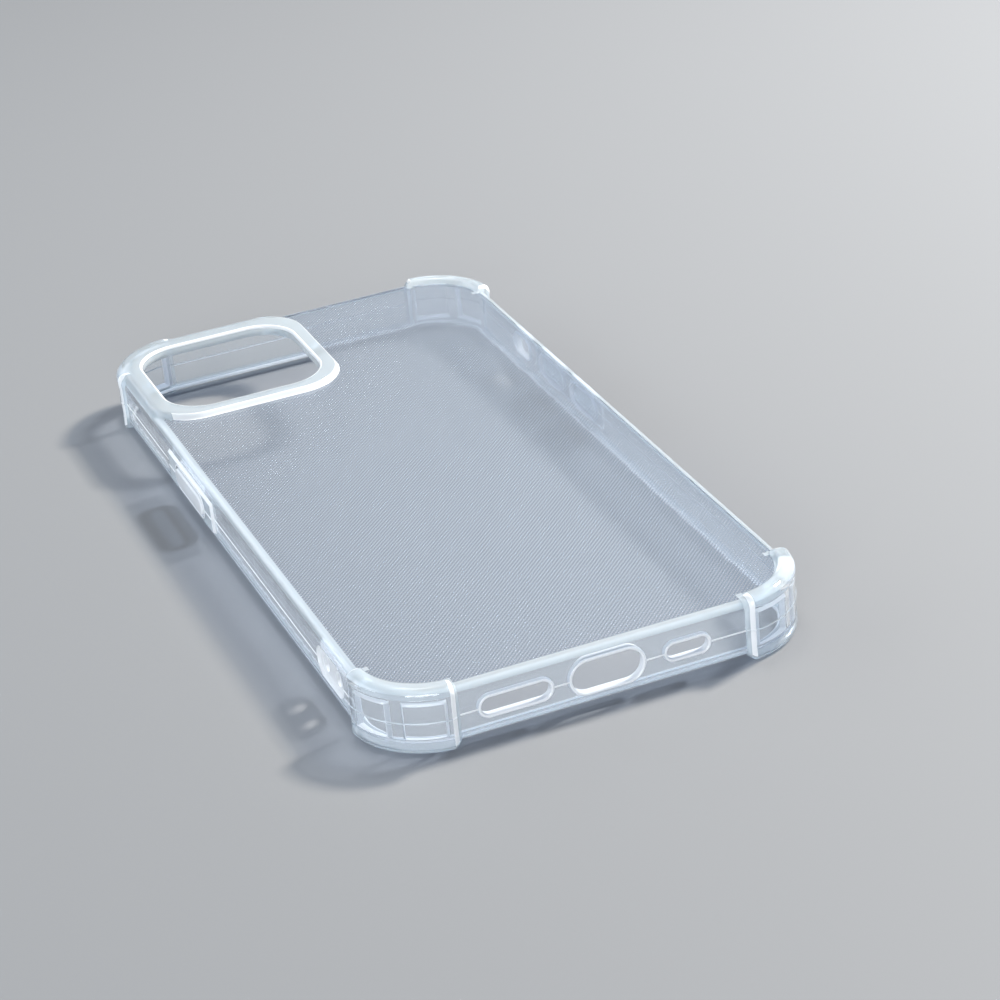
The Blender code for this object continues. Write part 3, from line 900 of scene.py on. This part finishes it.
# the case itself
clear, thick = clearTpu("clear_tpu"), clearTpu("thick_tpu")
panel, paintedHighlight = clearTpu("panel_tpu"), clearTpu("painted_highlight_tpu")
caseShell = makeShell()
for look in (clear, thick, dottedTpu("dotted_tpu"), panel, paintedHighlight):
    caseShell.data.materials.append(look)
print("shell swept,", len(caseShell.data.polygons), "faces")
cutOpenings(caseShell)
tidySurface(caseShell)
print("openings cut,", len(caseShell.data.polygons), "faces")
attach(caseShell, "case")
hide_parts(*frame["record"]["behaviour"]["bodies"]["case"])

keyBodies = {
    "power_button": "power_key",
    "volume_up_button": "volume_up_key",
    "volume_down_button": "volume_down_key",
}
for name, (low, high) in pads.items():
    pad = makePad(name + "_pad", low, high)
    pad.data.materials.append(thick)
    pad.data.materials.append(paintedHighlight)
    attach(pad, keyBodies[name])
    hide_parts(name)
    web = makeWeb(name + "_web", low, high)
    # the skirt takes the painted highlight
    web.data.materials.append(paintedHighlight)
    toWall = sidePlaces[padPlace(low, high)[0]]
    start, end = ([v * mm for v in toWall(0, 0, depth)] for depth in padShape["webStretch"])
    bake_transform(web)
print("pads made")

openRims = [(*place[:4], wall) for place in openings.values() if place[2] > 3]
padRims = []
for low, high in pads.values():
    side, along, length, height = padPlace(low, high)
    size = (length + 2 * padGap, height + 2 * padGap)
    padRims.append((side, along, *size, wall + shell["blockOut"]))
insideRims = [(*place[:4], 0.0) for place in openRims + padRims]
# the beads round the openings carry the painted highlight, a white outline where the rims catch the
# light
rims = rimTree(paintedHighlight)
rimPieces = {
    "opening_rims": ("opening", openRims),
    "pad_rims": ("pad", padRims),
    "inside_rims": ("inside", insideRims),
}
for name, (kind, places) in rimPieces.items():
    beads = makeRims(name, kind, places, rims)
    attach(beads, "case")
    print(name, "swept,", len(beads.data.polygons), "faces")


studio = {
    "floorSize": 3.0,  # metres from the middle to each side
    "floorColour": (0.235, 0.243, 0.255, 1),
    "floorRoughness": 0.65,
    "skyColour": (0.86, 0.90, 0.96, 1),
    "skyStrength": 0.16,
    "exposure": -0.42,
}
softBoxes = {  # place and size in metres, power in watts, colour; each faces the case
    "key_light": ((0.60, 0.12, 0.55), (0.11, 0.11), 18.0, (1.0, 0.98, 0.95)),
    "edge_light": ((-0.55, 0.35, 0.28), (1.1, 0.35), 4.5, (0.84, 0.92, 1.0)),
    "fill_light": ((-0.40, -0.75, 0.24), (0.6, 0.25), 8.0, (0.94, 0.97, 1.0)),
    "top_light": ((0.0, 0.25, 0.9), (0.3, 0.3), 2.5, (1.0, 1.0, 1.0)),
}


def makeStage():
    size = studio["floorSize"]
    mesh = bpy.data.meshes.new("floor")
    corners = [(-size, -size, 0), (size, -size, 0), (size, size, 0), (-size, size, 0)]
    mesh.from_pydata(corners, [], [(0, 1, 2, 3)])
    floor = bpy.data.objects.new("floor", mesh)
    bpy.context.scene.collection.objects.link(floor)
    made, _, shader = newMaterial("pale_floor")
    shader.inputs["Base Color"].default_value = studio["floorColour"]
    shader.inputs["Roughness"].default_value = studio["floorRoughness"]
    mesh.materials.append(made)


def makeLights():
    for name, (place, size, power, colour) in softBoxes.items():
        data = bpy.data.lights.new(name, "AREA")
        data.shape, data.size, data.size_y = "RECTANGLE", size[0], size[1]
        data.energy, data.color = power, colour
        lamp = bpy.data.objects.new(name, data)
        bpy.context.scene.collection.objects.link(lamp)
        lamp.location = place
        towards = Vector((0, 0, 0)) - Vector(place)
        lamp.rotation_euler = towards.to_track_quat("-Z", "Y").to_euler()
    world = bpy.data.worlds.new("studio")
    world.use_nodes = True
    background = world.node_tree.nodes["Background"]
    background.inputs["Color"].default_value = studio["skyColour"]
    background.inputs["Strength"].default_value = studio["skyStrength"]
    bpy.context.scene.world = world
    view = bpy.context.scene.view_settings
    view.view_transform, view.look, view.exposure = "Standard", "None", studio["exposure"]


# place in millimetres, turns in degrees
cameraPlan = {
    "place": (-147.651, -441.241, 240.812),
    "pitch": 26.905,
    "yaw": -19.657,
    "roll": -5.922,
    "lens": 106.96,
    "shift": (0.0175, -0.0184),
}


def makeCamera():
    pitch, yaw, roll = (math.radians(cameraPlan[k]) for k in ("pitch", "yaw", "roll"))
    level = math.cos(pitch)
    forward = Vector((-math.sin(yaw) * level, math.cos(yaw) * level, -math.sin(pitch)))
    right = Vector((math.cos(yaw), math.sin(yaw), 0))
    up = right.cross(forward)
    turnedRight = math.cos(roll) * right + math.sin(roll) * up
    turnedUp = -math.sin(roll) * right + math.cos(roll) * up
    data = bpy.data.cameras.new("camera")
    data.sensor_width, data.lens = 36.0, cameraPlan["lens"]
    data.shift_x, data.shift_y = cameraPlan["shift"]
    data.clip_start, data.clip_end = 0.01, 20.0
    camera = bpy.data.objects.new("camera", data)
    bpy.context.scene.collection.objects.link(camera)
    turned = Matrix((turnedRight, turnedUp, -forward)).transposed().to_4x4()
    camera.matrix_world = Matrix.Translation(Vector(cameraPlan["place"]) * mm) @ turned
    bpy.context.scene.camera = camera


makeStage()
makeLights()
makeCamera()
print("stage, lights and camera made")

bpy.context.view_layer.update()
